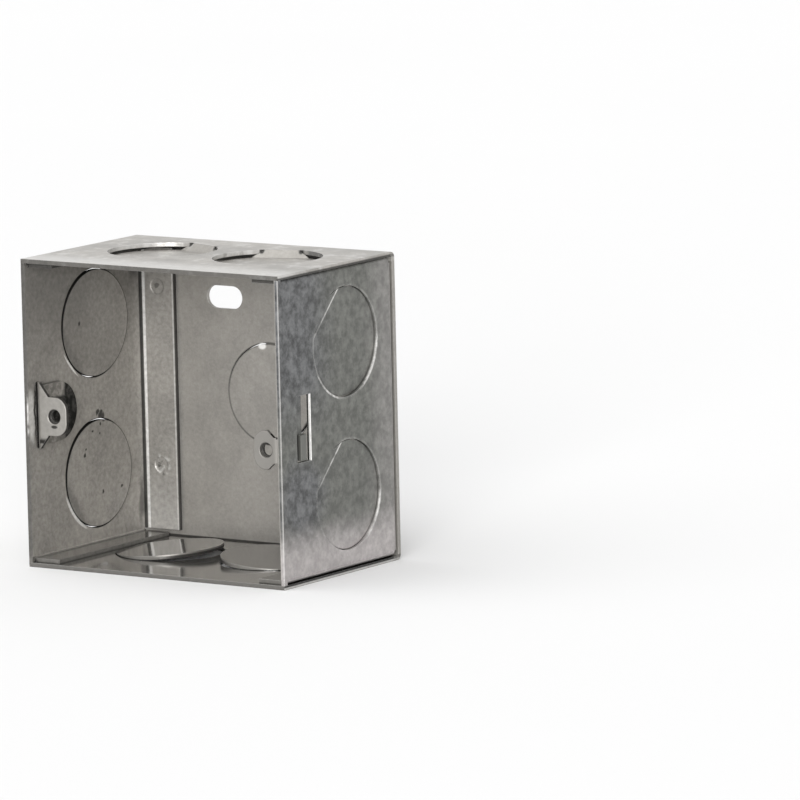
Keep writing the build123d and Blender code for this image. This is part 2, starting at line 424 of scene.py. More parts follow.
    def polish(self, mask, share):
        """Leaves only a share of the roughness where the mask is one."""
        self.rough = self.math("MULTIPLY", self.rough, self.ramp(mask, 0.0, 1.0, 1.0, share))

    def mottle(self, depth):
        """Breaks up the colours laid so far with small flecks, up to a depth lighter and darker."""
        flecks = self.noise(1 / self.finish.mottle_size, detail=3.0, roughness=0.6)
        self.colour = self.scale(self.colour, self.math("MULTIPLY_ADD", flecks, 2 * depth, 1 - depth))

    def finish_surface(self, no_crease_shade=0.0, edge_shine=0.2):
        """Adds rubbed edges and painted shade, laid as dark dirt, in the creases, and joins everything to the
        surface.
        """
        finish = self.finish
        soft_normal = self.add("ShaderNodeBevel", {"Radius": finish.edge_wear}, samples=6).outputs["Normal"]
        true_normal = self.add("ShaderNodeNewGeometry").outputs["Normal"]
        agreement = self.add(
            "ShaderNodeVectorMath", {0: soft_normal, 1: true_normal}, operation="DOT_PRODUCT"
        ).outputs["Value"]
        edge = self.ramp(agreement, 0.8, 0.99, 1.0, 0.0)
        openness = self.add(
            "ShaderNodeAmbientOcclusion", {"Distance": finish.crease_reach}, samples=8
        ).outputs["AO"]
        self.stain(self.where(edge, self.ramp(openness, 0.8, 0.98)), finish.edge, edge_shine)
        # Painted shade in creases and gaps, found by ambient occlusion and laid in the dark dirt colour
        dirt_and_shade = self.ramp(openness, 0.3, 0.8, 1.0, 0.0)
        self.soil_and_shade(self.where(dirt_and_shade, self.off(no_crease_shade)))
        bump = self.add(
            "ShaderNodeBump",
            {"Height": self.grain, "Strength": 0.12, "Distance": 0.05 * MM, "Normal": soft_normal},
        ).outputs["Normal"]
        for name, value in {
            "Base Color": self.colour,
            "Metallic": self.math("MULTIPLY", self.shine, finish.metallic),
            "Specular IOR Level": self.math("MULTIPLY", self.shine, 0.5),
            "Roughness": self.rough,
            "Coat Weight": self.coat,
            "Coat Roughness": 0.1,
            "Normal": bump,
        }.items():
            self.feed(self.surface.inputs[name], value)


def dress(node, shader):
    """Gives a CAD node its finish."""
    piece = frame["nodes"][node]
    if not piece.material_slots:
        raise RuntimeError(f"{node} has no material slot")
    for slot in piece.material_slots:
        slot.material = shader.material


class JUNCTIONBOX_OT_wrapper(bpy.types.Operator):
    """Finish the folded sheet of top, back and bottom"""

    bl_idname = "junction_box.wrapper"
    bl_label = "Wrapper Sheet"

    def execute(self, context):
        finish = context.scene.junction_box_finish
        sheet = ZincSheet("wrapper_zinc", finish, roughness=0.34)
        out = sheet.past(sheet.across(), END_KNOCKOUT_REACH)
        back = sheet.past(sheet.y, KNOCKOUT_Y)
        top_sheet = sheet.above(sheet.z, BOX_HEIGHT - SHEET - 0.1, soft=0.05)
        self.bottom_marks(sheet, out, back)
        self.top_marks(sheet, out, back, top_sheet)
        self.cut_edges(sheet)
        beside_flange = self.back_marks(sheet, top_sheet)
        outer_groove = sheet.where(
            sheet.above(sheet.across(), RIGHT - 1.4, soft=0.1),
            sheet.band(sheet.y, BACK - SHEET, half=0.6, soft=0.2),
        )
        sheet.stain(outer_groove, finish.zinc_dark, strength=0.5)
        sheet.mottle(0.2)
        sheet.finish_surface(no_crease_shade=sheet.either(top_sheet, outer_groove, beside_flange))
        dress("wrapper", sheet)
        return {"FINISHED"}

    def bottom_marks(self, sheet, out, back):
        """Dark mirror-like inside of the bottom, with painted shade in the gaps round its discs and under
        their raised edges.
        """
        finish = sheet.finish
        reach = sheet.reach(out, back)
        sunk = sheet.below(sheet.z, SHEET + 0.15, soft=0.1)
        low = sheet.below(sheet.z, 5.0, soft=0.5)
        rim = sheet.band(reach, KNOCKOUT_RADIUS - KNOCKOUT_GAP, half=0.12, soft=0.06)
        disc_edge = sheet.where(rim, low, sheet.off(sunk))
        inside = sheet.where(
            low,
            sheet.above(sheet.z, 0.3, soft=0.1),
            sheet.below(sheet.y, BACK - 1.5, soft=0.2),
            sheet.off(disc_edge),
        )
        sheet.stain(inside, toned(finish.zinc_dark, 0.55), strength=0.85)
        sheet.polish(inside, 0.25)
        sheet.coat = sheet.math("MULTIPLY", inside, 0.6)
        # Painted shade in the gaps round the discs
        sheet.soil_and_shade(sheet.where(sheet.groove(reach, KNOCKOUT_RADIUS), sunk), strength=0.9)
        sheet.stain(disc_edge, toned(finish.zinc_dark, 0.5), strength=0.6)
        # Painted shade under the raised edge of each disc: the discs rise from their tabs, so this shade
        # follows that slope
        tab = sheet.along(out, back, BOTTOM_TAB_HEADING)
        under = sheet.below(sheet.math("MULTIPLY_ADD", tab, BOTTOM_DISC_SLOPE, sheet.z), 1.8, soft=0.15)
        far = sheet.below(tab, -2.0, soft=5.0)
        sheet.soil_and_shade(sheet.where(disc_edge, under, far), strength=0.9)

    def top_marks(self, sheet, out, back, top_sheet):
        """Hole walls in the bare-metal colour, partly painted highlight, with painted shade at their rear
        right ends, smudges on the top sheet, toned tabs and painted shade in the notches at their ends.
        """
        finish = sheet.finish
        # Hole walls are partly bare cut metal and partly painted highlight; their rear right ends get painted
        # shade
        hole_wall = sheet.where(
            top_sheet, sheet.band(sheet.reach(out, back), KNOCKOUT_RADIUS, half=0.08, soft=0.04)
        )
        sheet.stain(hole_wall, finish.edge)
        right_hole_end = sheet.above(sheet.x, END_KNOCKOUT_REACH + 0.8, soft=0.4)
        left_hole_end = sheet.band(sheet.x, -3.5, half=3.5, soft=0.5)
        shaded_end = sheet.where(
            sheet.either(right_hole_end, left_hole_end), sheet.above(back, 2.0, soft=1.0)
        )
        sheet.soil_and_shade(sheet.where(hole_wall, shaded_end), strength=0.8)

        top = sheet.above(sheet.z, BOX_HEIGHT - 2.2, soft=0.1)
        smudges = sheet.noise(3 / finish.cloud_size, detail=5.0, roughness=0.65)
        sheet.stain(sheet.where(top, sheet.ramp(smudges, 0.5, 0.72)), finish.zinc_dark, strength=0.65)
        sheet.stain(sheet.where(top, sheet.ramp(smudges, 0.5, 0.3)), finish.edge, strength=0.6)
        near_mouth = sheet.below(sheet.y, FRONT + 8.0, soft=5.0)
        behind_cut = sheet.above(sheet.y, FRONT + 0.15, soft=0.05)
        sheet.stain(sheet.where(top_sheet, near_mouth, behind_cut), finish.edge, strength=0.7)

        towards_tab = sheet.along(out, back, TOP_TAB_HEADING)
        beside_tab = sheet.math("ABSOLUTE", sheet.along(out, back, TOP_TAB_HEADING - 90))
        tab = sheet.where(
            sheet.band(towards_tab, 11.5, half=1.0, soft=0.2), sheet.below(beside_tab, 6.8, soft=0.4)
        )
        sheet.stain(sheet.where(top, tab), finish.zinc_dark, strength=0.6)
        # Painted shade in the notches at both ends of each tab
        from_notch = sheet.reach(sheet.past(towards_tab, 12.0), sheet.past(beside_tab, 4.8))
        sheet.soil_and_shade(sheet.where(top, sheet.below(from_notch, 0.6, soft=0.25)), strength=0.9)

    def cut_edges(self, sheet):
        """Dull sheared edges at the mouth and along the sides."""
        finish = sheet.finish
        upper = sheet.above(sheet.z, MIDDLE, soft=1.0)
        cut_front = sheet.below(sheet.y, FRONT + 0.1, soft=0.05)
        sheet.stain(sheet.where(cut_front, sheet.off(upper)), toned(finish.zinc_dark, 0.5), strength=0.8)
        sheet.soil_and_shade(sheet.where(cut_front, upper), strength=0.72)
        cut_side = sheet.above(sheet.across(), RIGHT - 0.15, soft=0.1)
        top_edge = sheet.band(sheet.z, BOX_HEIGHT - 0.85, half=0.35, soft=0.2)
        bottom_edge = sheet.band(sheet.z, 0.95, half=0.4, soft=0.1)
        bottom_corner = sheet.below(sheet.z, 0.5, soft=0.1)
        sheet.soil_and_shade(sheet.where(cut_side, top_edge), strength=0.85)
        # Painted shade on the bottom cut edge of the sides, with a lighter strip below it
        sheet.soil_and_shade(sheet.where(cut_side, bottom_edge), strength=0.95)
        sheet.stain(sheet.where(cut_side, bottom_corner), finish.edge, strength=0.7)

    def back_marks(self, sheet, top_sheet):
        """Tone of the back, darker towards its foot, with painted shade under the top, round its knockout and
        in its bottom crease, and a painted glint on the knockout's tab: returns the strips beside the
        flanges, which are left without painted crease shade.
        """
        finish = sheet.finish
        at_back = sheet.above(sheet.y, BACK - 3.0, soft=0.2)
        sheet.stain(sheet.where(at_back, sheet.off(top_sheet)), finish.zinc_dark, strength=0.2)
        foot = sheet.below(sheet.z, 30.0, soft=20.0)
        sheet.stain(sheet.where(at_back, foot), finish.zinc_dark, strength=0.25)
        inner_back = sheet.where(
            sheet.band(sheet.y, BACK - 1.7, half=1.2, soft=0.1),
            sheet.band(sheet.x, 0.0, half=RIGHT - 1.5, soft=0.1),
        )
        # Painted shade on the inside of the back, under the top sheet
        under_top = sheet.band(sheet.z, BOX_HEIGHT - 3.0, half=2.0, soft=0.4)
        sheet.soil_and_shade(sheet.where(inner_back, under_top), strength=0.9)
        # Painted shade in the gap round the back knockout
        reach = sheet.reach(sheet.past(sheet.x, BACK_KNOCKOUT_X), sheet.past(sheet.z, BACK_KNOCKOUT_Z))
        sheet.soil_and_shade(sheet.where(sheet.groove(reach, BACK_KNOCKOUT_RADIUS), at_back), strength=0.7)
        # Painted glint at the end of the back knockout's tab
        tab_glint = sheet.blob(sheet.place, (-1.0, BACK - 1.4, BACK_KNOCKOUT_Z + 11.4), (1.1, 0.9, 0.8))
        sheet.stain(tab_glint, finish.bright)
        # Painted shade along the crease between the back and the bottom
        crease = sheet.where(
            sheet.band(sheet.z, 1.1, half=0.3, soft=0.15),
            sheet.above(sheet.y, BACK - 1.7, soft=0.2),
            sheet.below(sheet.y, BACK - 0.5, soft=0.2),
        )
        sheet.soil_and_shade(crease, strength=0.9)
        # The strips beside the flanges are left without painted crease shade
        beside_flange = sheet.band(sheet.across(), BACK_FLANGE_EDGE - 0.6, half=0.6, soft=0.2)
        return sheet.where(inner_back, beside_flange)


class JUNCTIONBOX_OT_sides(bpy.types.Operator):
    """Finish the two side sheets"""

    bl_idname = "junction_box.sides"
    bl_label = "Side Sheets"

    # Depth, height and radius of the dark specks on the left wall, in millimetres
    SPECKS = (
        (3.2, 33.0, 0.7), (4.3, 32.1, 0.8), (5.2, 31.3, 0.9), (3.7, 30.1, 0.5), (0.8, 28.7, 0.5),
        (3.2, 27.8, 0.35), (-1.9, 24.6, 0.35), (-2.1, 23.2, 0.5), (4.2, 13.5, 0.5), (11.9, 14.3, 0.5),
        (-3.5, 55.5, 0.6),
    )
    # Depth, height and two radii of the soft smudges on the left wall, in millimetres, and their strength
    SMUDGES = ((19.3, 66.8, 2.6, 3.4, 0.55), (20.6, 9.5, 1.3, 5.0, 0.6), (9.5, 9.6, 3.5, 3.4, 0.2))
    # How far a mark on the left wall reaches through it, in millimetres
    MARK_DEPTH = 3.0
    # Middle of the painted highlight arcs on the bare metal beside the tabs of the left discs, in degrees
    LEFT_ARC_HEADING = -137.0
    # Middle of the painted highlight arcs at the rear of the right discs and below the upper one, in degrees
    REAR_ARC_HEADING, LOW_ARC_HEADING = -30.0, -127.0

    def execute(self, context):
        finish = context.scene.junction_box_finish
        dress("left_side", self.left(finish))
        dress("right_side", self.right(finish))
        return {"FINISHED"}

    def from_knockout(self, sheet):
        """Distances backwards and up from the axis of the nearer knockout of a side."""
        rise = sheet.past(sheet.z, MIDDLE)
        nearer = sheet.math("MULTIPLY", sheet.math("SIGN", rise), SIDE_KNOCKOUT_RISE * MM)
        return sheet.past(sheet.y, KNOCKOUT_Y), sheet.math("SUBTRACT", rise, nearer)

    def inner_marks(self, sheet):
        """Painted shade in the creases and along the sheared flange edges on the inside of a side, painted
        highlights on its back flange, and its mirror-like bottom flange.
        """
        finish = sheet.finish
        across = sheet.across()
        # Painted shade in the crease between the wall and the back flange
        crease = sheet.where(
            sheet.band(across, RIGHT - 1.2, half=0.35, soft=0.2),
            sheet.band(sheet.y, BACK - 2.2, half=0.4, soft=0.2),
        )
        sheet.soil_and_shade(crease, strength=0.9)
        # Painted highlights on the bend and along the free edge of the back flange
        flange_face = sheet.band(sheet.y, BACK - 2.1, half=0.4, soft=0.1)
        lit_bend = sheet.band(across, RIGHT - 2.0, half=0.38, soft=0.12)
        lit_edge = sheet.band(across, BACK_FLANGE_EDGE + 0.4, half=0.18, soft=0.08)
        sheet.stain(sheet.where(flange_face, lit_bend), finish.bright, strength=0.85)
        sheet.stain(sheet.where(flange_face, lit_edge), finish.edge, strength=0.8)
        # Painted shade at the free edge of the back flange
        sheet.soil_and_shade(sheet.band(across, BACK_FLANGE_EDGE, half=0.15, soft=0.08), strength=0.85)
        # Painted shade on the free and front edges of the end flanges
        from_middle = sheet.math("ABSOLUTE", sheet.past(sheet.z, MIDDLE))
        ends = sheet.above(from_middle, MIDDLE - 2.2, soft=0.1)
        end_edge = sheet.band(across, END_FLANGE_EDGE, half=0.2, soft=0.1)
        end_front = sheet.where(
            sheet.below(sheet.y, END_FLANGE_FRONT + 0.1, soft=0.1), sheet.below(across, RIGHT - 1.1, soft=0.1)
        )
        sheet.soil_and_shade(sheet.where(ends, sheet.either(end_edge, end_front)), strength=0.85)
        low = sheet.below(sheet.z, 2.4, soft=0.3)
        sheet.stain(low, toned(finish.zinc_dark, 0.6), strength=0.8)
        sheet.polish(low, 0.4)

    def left(self, finish):
        """Left side, seen from the inside, with painted shade darkening its top, specks, and a painted
        highlight on the front edge by the lug.
        """
        sheet = ZincSheet("left_side_zinc", finish, roughness=0.4)
        shade_and_dull_zinc = toned(finish.zinc_dark, 0.55)
        wall = sheet.below(sheet.x, 1.5 - RIGHT, soft=0.2)
        within = sheet.above(sheet.x, 0.6 - RIGHT, soft=0.1)
        depth, rise = self.from_knockout(sheet)
        self.left_tones(sheet, shade_and_dull_zinc, wall, depth, rise)
        self.left_dirt(sheet, wall, within)
        self.left_rims(sheet, within, depth, rise)
        self.left_welds(sheet)
        self.left_front(sheet, shade_and_dull_zinc, within)
        self.inner_marks(sheet)
        sheet.mottle(0.45)
        sheet.finish_surface(edge_shine=0.1)
        return sheet

    def left_tones(self, sheet, shade_and_dull_zinc, wall, depth, rise):
        """Painted shade on the top of the wall, the upper disc and the tabs of the discs, and flanges that
        are paler at the foot.
        """
        finish = sheet.finish
        # Painted shade darkening the top of the wall and the upper disc
        sheet.stain(sheet.where(wall, sheet.above(sheet.z, 50.0, soft=16.0)), shade_and_dull_zinc, strength=0.6)
        disc = sheet.below(sheet.reach(depth, rise), KNOCKOUT_RADIUS, soft=0.1)
        sheet.stain(sheet.where(disc, sheet.above(sheet.z, MIDDLE, soft=1.0)), shade_and_dull_zinc, strength=0.16)
        # Painted shade on the tabs of the discs
        tab = sheet.above(sheet.along(depth, rise, LEFT_TAB_HEADING), 10.4, soft=1.2)
        sheet.stain(sheet.where(disc, tab), shade_and_dull_zinc, strength=0.45)
        flanges = sheet.off(wall)
        sheet.stain(flanges, finish.zinc_dark, strength=0.32)
        sheet.stain(sheet.where(flanges, sheet.below(sheet.z, 12.0, soft=8.0)), finish.edge, strength=0.3)

    def left_dirt(self, sheet, wall, within):
        """Dark specks and soft smudges on the inside of the left wall."""
        specks = [
            sheet.blob(sheet.rough_place, (-RIGHT, y, z), (self.MARK_DEPTH, radius, radius))
            for y, z, radius in self.SPECKS
        ]
        sheet.soil_and_shade(sheet.where(within, sheet.either(*specks)), strength=0.85)
        for y, z, wide, tall, strength in self.SMUDGES:
            radii = (self.MARK_DEPTH, wide, tall)
            smudge = sheet.blob(sheet.rough_place, (-RIGHT, y, z), radii, soft=0.5)
            sheet.soil_and_shade(sheet.where(wall, within, smudge), strength)

    def left_rims(self, sheet, within, depth, rise):
        """Painted shade in the gaps round the left discs, with painted highlights on the bare metal beside
        their tabs.
        """
        reach = sheet.reach(depth, rise)
        # Painted shade in the gaps round the discs
        sheet.soil_and_shade(sheet.band(reach, KNOCKOUT_RADIUS - sheet.GAP_MIDDLE, half=0.26, soft=0.12))
        towards_arc = sheet.along(depth, rise, self.LEFT_ARC_HEADING)
        # The arc by the upper disc is shorter
        lower_disc = sheet.below(sheet.z, MIDDLE, soft=1.0)
        # Painted highlights on the bare metal beside the tabs
        highlight_arc = sheet.where(
            within,
            sheet.band(reach, KNOCKOUT_RADIUS + 0.35, half=0.4, soft=0.15),
            sheet.above(towards_arc, 12.3, soft=0.5),
            sheet.either(lower_disc, sheet.above(towards_arc, 13.15, soft=0.12)),
        )
        sheet.stain(highlight_arc, sheet.finish.bright, strength=0.85)

    def left_welds(self, sheet):
        """Spattered lower weld and pitted upper weld on the back flange of the left side."""
        low_weld, high_weld = WELD_HEIGHTS
        spots = sheet.noise(2 / sheet.finish.spangle_size, detail=3.0)
        spatter = sheet.blob(sheet.rough_place, (-WELD_X, BACK - 2.0, low_weld), (2.6, 3.0, 2.6))
        sheet.stain(sheet.where(spatter, sheet.ramp(spots, 0.5, 0.62)), sheet.finish.edge, strength=0.7)
        sheet.soil_and_shade(sheet.where(spatter, sheet.ramp(spots, 0.42, 0.32)), strength=0.7)
        pit = sheet.blob(sheet.rough_place, (-WELD_X, BACK - 2.0, high_weld), (0.7, 3.0, 0.6))
        sheet.soil_and_shade(pit, strength=0.6)

    def left_front(self, sheet, shade_and_dull_zinc, within):
        """Dull cut edge of the left wall, with a painted highlight on the strip in front of the fixed lug and
        a line of painted shade beside it.
        """
        cut_front = sheet.below(sheet.y, FRONT + 0.1, soft=0.05)
        sheet.stain(cut_front, shade_and_dull_zinc, strength=0.8)
        sheet.soil_and_shade(cut_front, strength=0.5)
        # Painted highlight on the strip of wall in front of the fixed lug
        rubbed = sheet.blob(
            sheet.rough_place,
            (-RIGHT, FRONT + 1.0, MIDDLE - 1.0),
            (self.MARK_DEPTH, 1.3, 6.0),
            soft=0.25,
        )
        sheet.stain(sheet.where(within, rubbed), sheet.finish.edge, strength=0.85)
        # Painted shade in a line beside the fixed lug
        beside_lug = sheet.blob(
            sheet.rough_place,
            (-RIGHT, LUG_FRONT - 0.2, LUG_HEIGHT + 0.8),
            (self.MARK_DEPTH, 0.45, 7.0),
            soft=0.35,
        )
        sheet.soil_and_shade(sheet.where(within, beside_lug), strength=0.9)

    def right(self, finish):
        """Right side, seen from the outside, blotchy in front and paler at the back and the foot."""
        sheet = ZincSheet("right_side_zinc", finish, roughness=0.42)
        self.inner_marks(sheet)
        slot_height = sheet.band(sheet.z, MIDDLE, half=SLOT_HALF_HEIGHT, soft=0.2)
        outside = self.outer_face(sheet, slot_height)
        blotches = sheet.noise(5.5 / finish.cloud_size, detail=6.0, roughness=0.7)
        self.right_tones(sheet, outside, blotches)
        self.right_rims(sheet, outside, blotches)
        bend = self.right_edges(sheet, slot_height)
        sheet.mottle(0.25)
        no_crease_shade = sheet.where(sheet.either(outside, bend), sheet.above(sheet.z, 2.0, soft=0.3))
        sheet.finish_surface(no_crease_shade, edge_shine=0.5)
        return sheet

    def outer_face(self, sheet, slot_height):
        """One on the outside of the right wall, and of the rail that slopes inwards in the slot."""
        rail = sheet.where(slot_height, sheet.below(sheet.y, SLOT_BACK - 0.5, soft=0.1))
        inset = sheet.math("MAXIMUM", sheet.past(sheet.y, SLOT_FRONT), 0.0)
        inset = sheet.where(rail, sheet.math("MINIMUM", inset, RAIL_INSET * MM))
        return sheet.above(sheet.math("MULTIPLY_ADD", inset, 0.7, sheet.x), RIGHT - 0.85, soft=0.1)

    def right_tones(self, sheet, outside, blotches):
        """Blotchy coating of the outside: weathered, bluish in front, paler at the back and the foot."""
        finish = sheet.finish
        blotch = sheet.ramp(blotches, 0.32, 0.7)
        worn, blue, pale = (
            sheet.mix(blotch, solid(toned(colour, dark)), solid(toned(colour, light)))
            for colour, dark, light in (
                (finish.weathered, 0.7, 1.32), (finish.bluish, 0.45, 1.55), (finish.rubbed, 0.85, 1.15),
            )
        )
        _, y, z = sheet.add("ShaderNodeSeparateXYZ", {"Vector": sheet.rough_place}).outputs
        front = sheet.where(sheet.below(y, -6.0, soft=8.0), sheet.above(z, 40.0, soft=10.0))
        low_front = sheet.blob(sheet.rough_place, (RIGHT, -16.0, 20.0), (9.0, 9.0, 9.0), soft=0.5)
        worn = sheet.mix(sheet.either(front, low_front), worn, blue)
        worn = sheet.mix(sheet.math("MULTIPLY", sheet.above(y, 15.0, soft=6.0), 0.3), worn, pale)
        worn = sheet.mix(sheet.below(z, 10.5, soft=5.0), worn, pale)
        sheet.colour = sheet.mix(outside, sheet.colour, worn)

    def right_rims(self, sheet, outside, blotches):
        """Painted highlights, broken up, on the bare rims round the right discs and along the creases of
        their tabs.
        """
        depth, rise = self.from_knockout(sheet)
        reach = sheet.reach(depth, rise)
        tab = sheet.along(depth, rise, RIGHT_TAB_HEADING)
        rear_arc = sheet.above(sheet.along(depth, rise, self.REAR_ARC_HEADING), 11.7, soft=0.6)
        low_arc = sheet.where(
            sheet.above(sheet.along(depth, rise, self.LOW_ARC_HEADING), 12.3, soft=0.4),
            sheet.above(sheet.z, MIDDLE, soft=1.0),
        )
        # Painted highlights on the rims and the tab creases
        rim = sheet.where(
            sheet.band(reach, KNOCKOUT_RADIUS + 0.1, half=0.35, soft=0.15),
            sheet.below(tab, 11.2, soft=0.5),
            sheet.ramp(sheet.either(rear_arc, low_arc), 0.0, 1.0, 0.15, 1.0),
            sheet.above(sheet.x, RIGHT - 0.4, soft=0.1),
        )
        crease = sheet.where(
            sheet.band(tab, TAB_CREASE, half=0.22, soft=0.12),
            sheet.below(reach, KNOCKOUT_RADIUS, soft=0.2),
            sheet.ramp(rise, 4 * MM, 11 * MM, 0.35, 1.0),
        )
        broken = sheet.ramp(blotches, 0.35, 0.6, 0.3, 1.0)
        sheet.stain(sheet.where(sheet.either(rim, crease), outside, broken), sheet.finish.edge)

    def right_edges(self, sheet, slot_height):
        """Front corner, painted highlight on the outer cut edge of the slot and painted shade inside it:
        returns the bend at the back, which is left without painted crease shade.
        """
        finish = sheet.finish
        corner = sheet.where(
            sheet.below(sheet.y, FRONT + 0.2, soft=0.05), sheet.above(sheet.x, RIGHT - 0.3, soft=0.1)
        )
        sheet.stain(corner, finish.edge, strength=0.35)
        # Painted highlight on the outer cut edge of the slot, painted shade on its inner part
        cut = sheet.where(sheet.band(sheet.y, SLOT_BACK, half=0.2, soft=0.1), slot_height)
        cut_outside = sheet.above(sheet.x, RIGHT - 0.55, soft=0.08)
        sheet.stain(sheet.where(cut, cut_outside), finish.bright)
        sheet.soil_and_shade(sheet.where(cut, sheet.off(cut_outside)), strength=0.95)
        bend = sheet.where(
            sheet.above(sheet.y, BACK - 2.6, soft=0.1), sheet.above(sheet.x, RIGHT - 1.6, soft=0.1)
        )
        sheet.stain(bend, finish.zinc_dark, strength=0.4)
        return bend


class JUNCTIONBOX_OT_lugs(bpy.types.Operator):
    """Finish the fixed and the sliding lug"""

    bl_idname = "junction_box.lugs"
    bl_label = "Lugs"

    def execute(self, context):
        finish = context.scene.junction_box_finish
        dress("fixed_lug", self.fixed(finish))
        dress("adjustable_lug", self.sliding(finish))
        return {"FINISHED"}

    def fixed(self, finish):
        """Fixed lug with a dull face, a darkened lower wing, painted shade on its cut edge, and a foot
        blackened round its weld and by the painted shadow of the lug.
        """
        lug = ZincSheet("fixed_lug_zinc", finish, roughness=0.38)
        face = lug.below(lug.y, FRONT + 3.0, soft=0.1)
        lug.stain(face, finish.zinc_dark, strength=0.8)
        streaks = lug.noise(2 / finish.spangle_size, detail=4.0)
        behind = lug.where(
            lug.above(lug.y, LUG_FRONT + 3.0, soft=0.5), lug.band(lug.z, LUG_HEIGHT - 0.3, half=3.9, soft=0.5)
        )
        # Weld scorch and the painted shadow of the lug darken its foot behind the nose and towards the back
        scorch_and_shadow = lug.either(lug.above(lug.y, LUG_FRONT + 10.2, soft=0.7), behind)
        lug.soil_and_shade(lug.where(scorch_and_shadow, lug.ramp(streaks, 0.3, 0.6, 0.85, 0.97)))
        # Painted shade on the cut edge of the lug plate
        cut_edge = lug.where(
            lug.off(face),
            lug.below(lug.y, LUG_FRONT + 1.3, soft=0.1),
            lug.above(lug.x, 2.0 - RIGHT, soft=0.2),
        )
        lug.soil_and_shade(cut_edge, strength=0.85)
        hole_x, _, hole_z = (part / MM for part in MOUNTS["fixed_lug_hole"]["pos_m"])
        under_hole = lug.blob(lug.place, (hole_x, LUG_FRONT, hole_z - 2.4), (0.9, 0.6, 0.4))
        lug.soil_and_shade(under_hole, strength=0.9)
        low_wing = lug.where(face, lug.below(lug.z, LUG_HEIGHT - 5.4, soft=0.5))
        lug.soil_and_shade(lug.where(low_wing, lug.ramp(streaks, 0.42, 0.58, 0.25, 0.95)))
        lug.stain(lug.where(lug.off(face), lug.ramp(streaks, 0.4, 0.6)), finish.grime_and_shade, strength=0.45)
        lug.mottle(0.25)
        lug.finish_surface(no_crease_shade=face)
        return lug

    def sliding(self, finish):
        """Sliding lug, dull all over, with a weathered tail in the slot and a line of painted shade above its
        stem.
        """
        lug = ZincSheet("lug_zinc", finish, roughness=0.45)
        lug.stain(1.0, toned(finish.zinc_dark, 0.75), strength=0.85)
        lug.stain(lug.above(lug.x, RIGHT - 1.8, soft=0.1), finish.weathered, strength=0.9)
        # Painted shade in a line above the stem
        above_stem = lug.where(
            lug.above(lug.z, MIDDLE - 1.9, soft=0.1),
            lug.above(lug.x, RIGHT - 5.2, soft=0.1),
            lug.band(lug.y, LUG_FRONT + 0.6, half=0.45, soft=0.05),
        )
        lug.soil_and_shade(above_stem, strength=0.95)
        lug.finish_surface(edge_shine=0.1)
        return lug


def thread_mesh(name, radius, length, thread):
    """Closed helical ridge on the wall of a round hole, along +Z from 0 to length."""
    half_base = 0.42 * thread.pitch
    root = radius + 0.02 * MM
    run_out = thread.steps / 4
    least_crest = 0.05
    turns = (length - 2 * half_base) / thread.pitch
    count = int(turns * thread.steps)
    shape = bmesh.new()
    rings = []
    for step in range(count + 1):
        angle = 2 * math.pi * step / thread.steps
        height = half_base + thread.pitch * step / thread.steps
        taper = min(1.0, step / run_out, (count - step) / run_out)
        crest = radius - thread.depth * max(taper, least_crest)
        profile = ((root, -half_base), (crest, 0.0), (root, half_base))
        rings.append([
            shape.verts.new((reach * math.cos(angle), reach * math.sin(angle), height + rise))
            for reach, rise in profile
        ])
    for near, far in zip(rings, rings[1:]):
        for corner in range(3):
            after = (corner + 1) % 3
            shape.faces.new((near[corner], far[corner], far[after], near[after]))
    shape.faces.new(rings[0])
    shape.faces.new(reversed(rings[-1]))
    bmesh.ops.recalc_face_normals(shape, faces=shape.faces)
    mesh = bpy.data.meshes.new(name)
    shape.to_mesh(mesh)
    shape.free()
    return mesh


class JUNCTIONBOX_OT_threads(bpy.types.Operator):
    """Cut the thread in the hole of each lug"""

    bl_idname = "junction_box.threads"
    bl_label = "Lug Threads"

    def execute(self, context):
        finish = context.scene.junction_box_finish
        thread = context.scene.junction_box_thread
        shader = ZincSheet("thread_zinc", finish, roughness=0.3)
        # Painted shade inside the lug holes, patchy with the clouds
        shader.soil_and_shade(shader.ramp(shader.clouds, 0.3, 0.6, 0.8, 0.98))
        shader.finish_surface()
        lug_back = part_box("adjustable_lug")[0].y + LUG_DEPTH * MM
        for lug, body, slot in (
            ("fixed_lug", "box", "fixed_lug_steel"),
            ("adjustable_lug", "lug", "lug_steel"),
        ):
            mount = MOUNTS[f"{lug}_hole"]
            radius = mount["dims"]["r_mm"] * MM
            length = mount["dims"]["length_mm"] * MM
            mesh = thread_mesh(f"{lug}_thread", radius, length, thread)
            piece = bpy.data.objects.new(f"{lug}_thread", mesh)
            context.scene.collection.objects.link(piece)
            start = Vector(mount["pos_m"])
            start.y = lug_back
            turn = Vector(mount["axis"]).to_track_quat("Z", "X").to_matrix().to_4x4()
            piece.matrix_world = Matrix.Translation(start) @ turn
            piece.data.materials.append(shader.material)
            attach(piece, body)
        return {"FINISHED"}


def compass(azimuth, elevation):
    """Direction from the box towards an azimuth from its front and a height above the floor."""
    level = math.cos(elevation)
    return Vector((math.sin(azimuth) * level, -math.cos(azimuth) * level, math.sin(elevation)))


def far_lamp(name, strength, azimuth, elevation, spread):
    """Wide soft lamp, far away in a compass direction round the box, all angles in degrees."""
    lamp = bpy.data.lights.new(name, "SUN")
    lamp.angle = math.radians(spread)
    lamp.energy = strength
    stand = bpy.data.objects.new(name, lamp)
    bpy.context.scene.collection.objects.link(stand)
    towards = compass(math.radians(azimuth), math.radians(elevation))
    stand.location = towards
    stand.rotation_euler = towards.to_track_quat("Z", "Y").to_euler()


